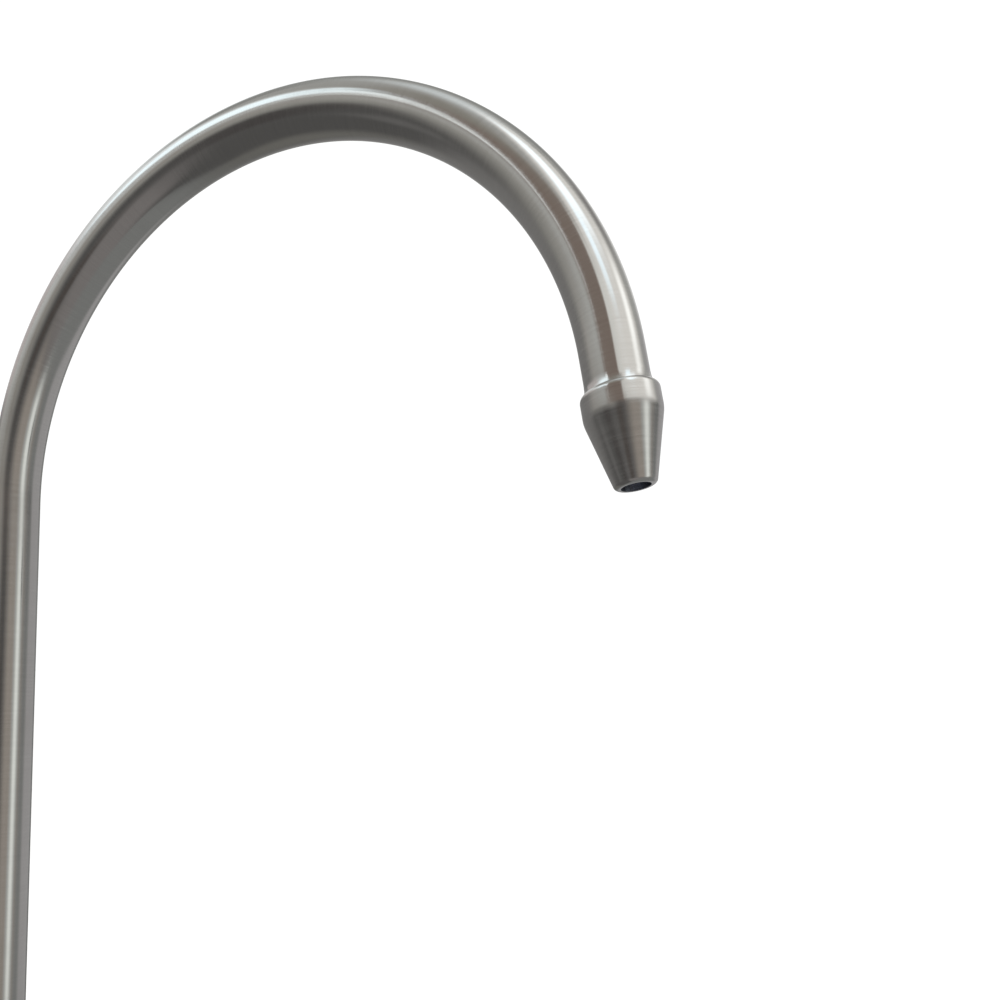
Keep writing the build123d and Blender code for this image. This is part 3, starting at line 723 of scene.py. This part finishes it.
def moulded(name, colour, roughness, grain, depth, uneven, dust=None, specks=None, sheen=0.0):
    """Moulded or pressed material: a fine skin, cloudy colour, dull patches, and dust or specks.

    The skin's grain is in millimetres and its depth in microns.
    """
    material, tree, shader = new_material(name)
    skin = noise(tree, object_position(tree), 1 / (grain * MM), detail=3.0, roughness=0.6)
    clouds = noise(tree, object_position(tree), clouds_a_metre, detail=4.0, roughness=0.6)
    patches = noise(tree, object_position(tree), dust_a_metre, detail=3.0)
    light = shade(colour, 1.0 + uneven)
    tint = mixed(tree, spread(tree, clouds, 0.35, 0.65), shade(colour, 1.0 - uneven), light)
    if dust:
        lying = calc(tree, "MULTIPLY", spread(tree, patches, 0.46, 0.7), spread(tree, skin, 0.35, 0.65))
        tint = mixed(tree, calc(tree, "MULTIPLY", lying, 0.5), tint, rgba(*dust))
    if specks:
        found = noise(tree, object_position(tree), specks_a_metre, detail=1.0)
        tint = mixed(tree, spread(tree, found, 0.66, 0.72), tint, rgba(*specks))
    feed(tree, shader.inputs["Base Color"], tint)
    rough = spread(tree, patches, 0.35, 0.7, roughness - 0.05, roughness + 0.07)
    rough = calc(tree, "ADD", rough, spread(tree, skin, 0.3, 0.7, -0.03, 0.03))
    feed(tree, shader.inputs["Roughness"], rough)
    feed(tree, shader.inputs["Normal"], bumped(tree, skin, depth * MICRON))
    set_shader(shader, Metallic=0.0, Sheen_Weight=sheen)
    return material


# The finishes
brushed = metal(
    "brushed_stainless",
    round_the_tube,
    warm_steel,
    roughness=0.135,
    fine=0.22,
    depth=0.6,
    contrast=0.045,
    banded=0.005,
    mottled=0.03,
    handled=0.02,
    grain_map="tube_map",
)
turned_nozzle = turned_nozzle_steel("turned_stainless_nozzle")
turned_upright = turned_steel("turned_stainless_upright", turned_on(upright))
turned_sideways = turned_steel("turned_stainless_sideways", turned_on(out_sideways))
turned_body = turned_steel("turned_stainless_body", round_body_or_boss)
turned_lever = metal(
    "turned_stainless_lever",
    turned_on(up_the_lever),
    warm_steel,
    roughness=0.18,
    fine=0.2,
    depth=1.2,
    handled=0.06,
)
plated_upright = plated_steel("plated_steel_upright", turned_on(upright), contrast=0.07)
plated_sideways = plated_steel("plated_steel_sideways", turned_on(out_sideways), contrast=0.06)
plated_shank = plated_thread("plated_steel_thread")
brass_upright = brass("brass_upright", turned_on(upright))
brass_sideways = brass("brass_sideways", turned_on(out_sideways))
rubber = moulded(
    "black_rubber",
    colour=(0.020, 0.020, 0.021),
    roughness=0.62,
    grain=0.12,
    depth=9.0,
    uneven=0.2,
    dust=(0.075, 0.073, 0.07),
    sheen=0.05,
)
slide_plastic = moulded(
    "slide_plastic",
    colour=(0.86, 0.86, 0.83),
    roughness=0.40,
    grain=0.2,
    depth=3.0,
    uneven=0.025,
    specks=(0.62, 0.60, 0.56),
)
adapter_plastic = moulded(
    "adapter_plastic", colour=(0.68, 0.69, 0.68), roughness=0.42, grain=0.16, depth=5.0, uneven=0.035
)
collet_plastic = moulded(
    "collet_plastic", colour=(0.38, 0.39, 0.41), roughness=0.38, grain=0.16, depth=4.0, uneven=0.06
)
ceramic = moulded(
    "lapped_ceramic",
    colour=(0.86, 0.84, 0.80),
    roughness=0.17,
    grain=0.08,
    depth=0.6,
    uneven=0.02,
    specks=(0.60, 0.57, 0.52),
)

# The finish of each solid: its slot's, or one turned on the solid's own axis
finish_of_slot = {
    "turned_stainless": turned_upright,
    "brushed_stainless": turned_upright,
    "plated_steel": plated_upright,
    "brass": brass_sideways,
    "rubber": rubber,
    "slide_plastic": slide_plastic,
    "adapter_plastic": adapter_plastic,
    "collet_plastic": collet_plastic,
    "ceramic": ceramic,
}
finish_of_node = {
    "bonnet": turned_sideways,
    "handle_hub": turned_sideways,
    "hub_cap": turned_sideways,
    "lever_rod": turned_lever,
    "valve_body": turned_body,
    "handle_screw": plated_sideways,
    "spindle_clip": plated_sideways,
    "spout_stem": brass_upright,
}
for name, solid in nodes.items():
    finish = finish_of_node.get(name, finish_of_slot[slot_of[name]])
    solid.data.materials.clear()
    solid.data.materials.append(finish)
tube.data.materials.append(brushed)
nozzle.data.materials.append(turned_nozzle)
shank.data.materials.append(plated_shank)


# The studio that the metal mirrors. A card's heading is that of its middle, from +Y towards +X, and low
# and high are its edges' heights. These, its half width and how its sides and ends fade are in degrees.
# The cards and the room's two tones weren't designed: scratch programs fitted them to the tones that the
# photograph's metal mirrors, and they were then rounded, and partly changed by hand.
Card = namedtuple("Card", "heading half_width low high side_fade end_fade colour")
plain_light = 0.86
backdrop_light = 1.06
horizon_low = 17.6
horizon_high = 19.0
below_horizon = (0.11, 0.11, 0.11)
above_horizon = (0.47, 0.48, 0.47)
cards = {
    # Bench round the foot
    "bench_front": Card(-126, 53, -81, -23, 12.0, 14.0, (0.25, 0.24, 0.24)),
    "bench_right": Card(131, 67, -88, 11, 18.0, 4.1, (0.25, 0.26, 0.26)),
    "bench_back": Card(45, 19, -52, -12, 15.0, 12.0, (0.19, 0.19, 0.18)),
    # Walls at the height of the loop
    "wall_left": Card(-10, 75, 4, 29, 12.0, 12.4, (0.41, 0.41, 0.39)),
    "wall_back": Card(25, 34, -12, 33, 15.5, 8.0, (0.23, 0.23, 0.23)),
    "wall_front": Card(-155, 37, -22, 14, 16.4, 6.0, (0.38, 0.35, 0.32)),
    "wall_front_pale": Card(-170, 17, -22, 14, 6.1, 6.0, (0.48, 0.50, 0.49)),
    "wall_front_bright": Card(-171, 8, -22, 14, 7.5, 6.0, (1.00, 1.05, 1.03)),
    "wall_right": Card(108, 31, -22, 30, 10.3, 6.0, (0.42, 0.42, 0.43)),
    # Tent overhead
    "ceiling": Card(1, 185, 78, 98, 9.0, 9.1, (0.80, 0.87, 0.90)),
    "ceiling_right": Card(170, 24, 67, 84, 9.0, 4.0, (1.60, 1.64, 1.62)),
    "tent_front": Card(-162, 50, 20, 85, 11.0, 3.0, (0.97, 0.97, 0.95)),
    "tent_front_bright": Card(-151, 23, 54, 80, 9.0, 8.1, (1.72, 1.90, 2.02)),
    "tent_right_bright": Card(171, 10, 28, 47, 7.7, 5.0, (1.58, 1.63, 1.63)),
    "tent_left_brown": Card(-87.5, 27, 14, 49, 2.4, 3.2, (0.255, 0.21, 0.185)),
    # Strips that draw the bright lines along the bend, and gaps between them
    "gap_back": Card(52, 57, 37, 67, 8.1, 8.0, (0.31, 0.32, 0.31)),
    "strip_back": Card(73, 35, 26, 44, 9.1, 7.9, (0.84, 0.84, 0.84)),
    "strip_left": Card(-36, 20, 18, 38, 8.0, 5.0, (0.62, 0.64, 0.64)),
    "strip_left_back": Card(2, 26, 20, 38, 3.0, 2.0, (0.60, 0.57, 0.57)),
    "gap_left": Card(-74, 14, 44, 68, 13.0, 9.0, (0.31, 0.30, 0.27)),
    "strip_back_high": Card(18, 32, 36, 49, 10.0, 5.0, (0.84, 0.88, 0.89)),
    "strip_left_high": Card(-28, 20, 35, 52, 11.0, 4.0, (1.15, 1.22, 1.26)),
    "strip_left_bright": Card(-42, 17, 34, 49, 3.0, 3.0, (1.45, 1.68, 1.80)),
    "gap_right": Card(123, 13, 45, 58, 8.0, 6.0, (0.30, 0.29, 0.29)),
    "strip_left_thin": Card(-61.8, 1.7, 25, 39, 1.2, 1.5, (1.75, 1.88, 1.92)),
    # Dark cards beside the nozzle
    "dark_left": Card(-57, 9, -26, 0, 6.0, 6.0, (0.085, 0.08, 0.08)),
    "dark_front": Card(-94, 8, -26, 0, 6.0, 6.0, (0.09, 0.08, 0.075)),
    "dark_low": Card(-26, 8, -24, -9, 7.0, 3.0, (0.17, 0.17, 0.17)),
    # Strips at the front
    "strip_front": Card(-115, 9, 22, 45, 3.0, 4.2, (0.93, 0.95, 0.93)),
    "strip_front_bright": Card(-139, 9, 40, 55, 4.7, 4.0, (1.40, 1.64, 1.80)),
}


def degrees_of(tree, angle):
    return calc(tree, "MULTIPLY", angle, 180 / pi)


def hang(tree, card, heading, height, behind):
    """Mixes a soft-edged card over what is behind it."""
    aside = calc(tree, "WRAP", calc(tree, "SUBTRACT", heading, card.heading), 180.0, -180.0)
    inner = card.half_width - card.side_fade
    outer = card.half_width + card.side_fade
    across = spread(tree, calc(tree, "ABSOLUTE", aside), outer, inner, eased=True)
    above = spread(tree, height, card.low - card.end_fade, card.low + card.end_fade, eased=True)
    below = spread(tree, height, card.high + card.end_fade, card.high - card.end_fade, eased=True)
    share = calc(tree, "MULTIPLY", calc(tree, "MULTIPLY", across, above), below)
    return mixed(tree, share, behind, rgba(*card.colour))


def make_studio():
    """The metal mirrors the cards, and everything else is lit by, and stands before, plain white."""
    world = bpy.data.worlds.new("studio")
    bpy.context.scene.world = world
    world.use_nodes = True
    tree = world.node_tree
    tree.nodes.clear()
    x, y, z = parts_of(tree, node(tree, "ShaderNodeTexCoord").outputs["Generated"])
    height = degrees_of(tree, calc(tree, "ARCSINE", z))
    heading = degrees_of(tree, calc(tree, "ARCTAN2", x, y))
    horizon = spread(tree, height, horizon_low, horizon_high, eased=True)
    room = mixed(tree, horizon, rgba(*below_horizon), rgba(*above_horizon))
    for card in cards.values():
        room = hang(tree, card, heading, height, room)
    mirrored = node(tree, "ShaderNodeBackground")
    feed(tree, mirrored.inputs["Color"], room)
    rays = node(tree, "ShaderNodeLightPath")
    strength = spread(tree, rays.outputs["Is Camera Ray"], 0.0, 1.0, plain_light, backdrop_light)
    plain = node(tree, "ShaderNodeBackground")
    feed(tree, plain.inputs["Color"], rgba(1.0, 1.0, 1.0))
    feed(tree, plain.inputs["Strength"], strength)
    both = node(tree, "ShaderNodeMixShader")
    feed(tree, both.inputs[0], rays.outputs["Is Glossy Ray"])
    feed(tree, both.inputs[1], plain.outputs[0])
    feed(tree, both.inputs[2], mirrored.outputs[0])
    feed(tree, node(tree, "ShaderNodeOutputWorld").inputs["Surface"], both.outputs[0])


make_studio()
scene = bpy.context.scene
scene.view_settings.view_transform = "Standard"
scene.view_settings.look = "None"

# Floor
floor_reach = 6.0
floor_white = rgba(0.97, 0.97, 0.96)
floor_shape = bmesh.new()
bmesh.ops.create_grid(
    floor_shape,
    x_segments=1,
    y_segments=1,
    size=floor_reach,
    matrix=Matrix.Translation((0, 0, cad_low.z)),
)
floor_mesh = bpy.data.meshes.new("floor")
floor_shape.to_mesh(floor_mesh)
floor_shape.free()
floor = bpy.data.objects.new("floor", floor_mesh)
scene.collection.objects.link(floor)
floor_material, _, floor_shader = new_material("pale_floor")
set_shader(floor_shader, Base_Color=floor_white, Roughness=0.9)
floor_mesh.materials.append(floor_material)

# The metal mirrors the cards and the nozzle, and no other piece
for unmirrored in (floor, tube, shank, *nodes.values()):
    unmirrored.visible_glossy = False

# Soft lamp overhead
lamp = bpy.data.lights.new("soft_lamp", "SUN")
lamp.energy = 0.95
lamp.angle = radians(50)
light = bpy.data.objects.new("soft_lamp", lamp)
light.rotation_euler = (radians(24), radians(-16), 0)
light.visible_glossy = False
scene.collection.objects.link(light)

# Camera, below the loop and in front of it to the left
camera_place = (-0.1601, -0.2046, 0.1835)
camera_tilt = radians(93.76)
camera_heading = radians(-63.73)
camera_lens = 30.6
camera_shift = (0.0806, 0.1310)
camera = bpy.data.cameras.new("camera")
view = bpy.data.objects.new("camera", camera)
scene.collection.objects.link(view)
view.location = camera_place
view.rotation_euler = (camera_tilt, 0, camera_heading)
camera.lens = camera_lens
camera.shift_x, camera.shift_y = camera_shift
scene.camera = view
